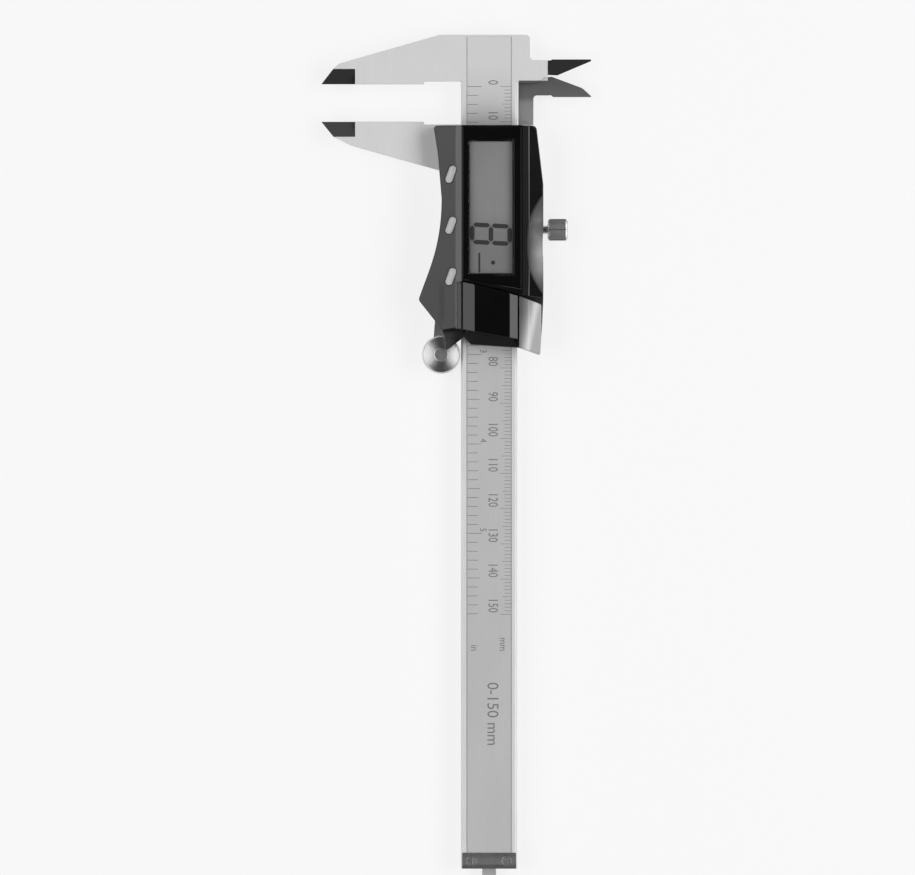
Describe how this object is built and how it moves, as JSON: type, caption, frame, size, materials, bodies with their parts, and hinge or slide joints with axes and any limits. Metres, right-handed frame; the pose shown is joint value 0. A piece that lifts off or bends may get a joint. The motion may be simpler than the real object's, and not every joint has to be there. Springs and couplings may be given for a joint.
{
  "type": "digital caliper",
  "caption": "Pocket caliper with outside and inside jaws, a printed scale, a sliding display housing, a thumb roller, a lock screw and a depth rod.",
  "frame": {"origin": "centre of the fixed outside jaw's measuring face, where readings start", "axes": "+X along the beam, the way the slider opens; +Z out of the display; +Y towards the inside jaws"},
  "size_m": [0.2477, 0.0767, 0.0138],
  "materials": {
    "ground_steel": "fine ground, hardened stainless steel",
    "scale_print": "satin anodised foil, printed in black",
    "board": "glass-epoxy laminate with solder mask",
    "blackened_steel": "blackened",
    "screw_steel": "turned",
    "brass": "plain",
    "black_plastic": "moulded, fine grain",
    "grey_plastic": "moulded, satin gloss",
    "gloss_black": "polished",
    "clear_lens": "clear acrylic",
    "display": "reflective liquid crystal",
    "white_plastic": "moulded",
    "elastomer": "layered silicone",
    "chip_black": "moulded epoxy",
    "nickel_contact": "nickel plated",
    "gold_contact": "gold flash",
    "silver_plastic": "metallic lacquer",
    "turned_steel": "turned and knurled"
  },
  "bodies": {
    "beam": {"main_beam": "ground_steel", "scale_stator": "board", "scale_film": "scale_print", "end_stop": "blackened_steel", "end_stop_screws": "screw_steel"},
    "slider": {"slider_frame": "ground_steel", "gib_strip": "brass", "gib_screws": "screw_steel", "depth_rod": "ground_steel", "depth_rod_rivet": "screw_steel", "case_base": "black_plastic", "case_cover": "grey_plastic", "case_screws": "screw_steel", "display_bezel": "gloss_black", "display_lens": "clear_lens", "lcd_glass": "display", "lcd_holder": "white_plastic", "lcd_connectors": "elastomer", "circuit_board": "board", "controller_chip": "chip_black", "button_domes": "nickel_contact", "battery_cell": "nickel_contact", "battery_contact_minus": "gold_contact", "battery_contact_plus": "gold_contact", "port_connector": "black_plastic", "port_pins": "gold_contact", "roller_bracket": "screw_steel", "bracket_screw": "screw_steel", "roller_axle": "turned_steel"},
    "power_button": {"power_button": "silver_plastic"},
    "unit_button": {"unit_button": "silver_plastic"},
    "zero_button": {"zero_button": "silver_plastic"},
    "battery_door": {"battery_door": "gloss_black"},
    "port_cover": {"port_cover": "silver_plastic"},
    "thumb_roller": {"thumb_roller": "turned_steel"},
    "lock_pad": {"lock_pad": "brass"},
    "lock_screw": {"lock_screw": "turned_steel"}
  },
  "joints": [
    {"name": "slider_slide", "type": "slide", "parent": "beam", "child": "slider", "axis": [1, 0, 0], "range_m": [-0.01069, 0.1433]},
    {"name": "roller_spin", "type": "hinge", "parent": "slider", "child": "thumb_roller", "pos_m": [0.0769, 0.0195, -0.00175], "axis": [0, 0, 1], "continuous": true},
    {"name": "pad_slide", "type": "slide", "parent": "slider", "child": "lock_pad", "axis": [0, -1, 0], "range_m": [-0.001, 0.00038]},
    {"name": "lock_turn", "type": "hinge", "parent": "lock_pad", "child": "lock_screw", "pos_m": [0.0414, 0.0491, 0], "axis": [0, -1, 0], "range_deg": [-721, 271]},
    {"name": "power_button_press", "type": "slide", "parent": "slider", "child": "power_button", "axis": [0, 0, -1], "range_m": [0, 0.0005], "stiffness_N_per_m": 600, "springref_m": -0.0012},
    {"name": "unit_button_press", "type": "slide", "parent": "slider", "child": "unit_button", "axis": [0, 0, -1], "range_m": [0, 0.0005], "stiffness_N_per_m": 600, "springref_m": -0.0012},
    {"name": "zero_button_press", "type": "slide", "parent": "slider", "child": "zero_button", "axis": [0, 0, -1], "range_m": [0, 0.0005], "stiffness_N_per_m": 600, "springref_m": -0.0012},
    {"name": "door_slide", "type": "slide", "parent": "slider", "child": "battery_door", "axis": [1, 0, 0], "range_m": [0, 0.016]},
    {"name": "port_cover_slide", "type": "slide", "parent": "slider", "child": "port_cover", "axis": [1, 0, 0], "range_m": [0, 0.012]}
  ],
  "couplings": [
    {"joint": "roller_spin", "follows": "slider_slide", "rad_per_m": 178.57},
    {"joint": "lock_turn", "follows": "pad_slide", "rad_per_m": 12566}
  ]
}
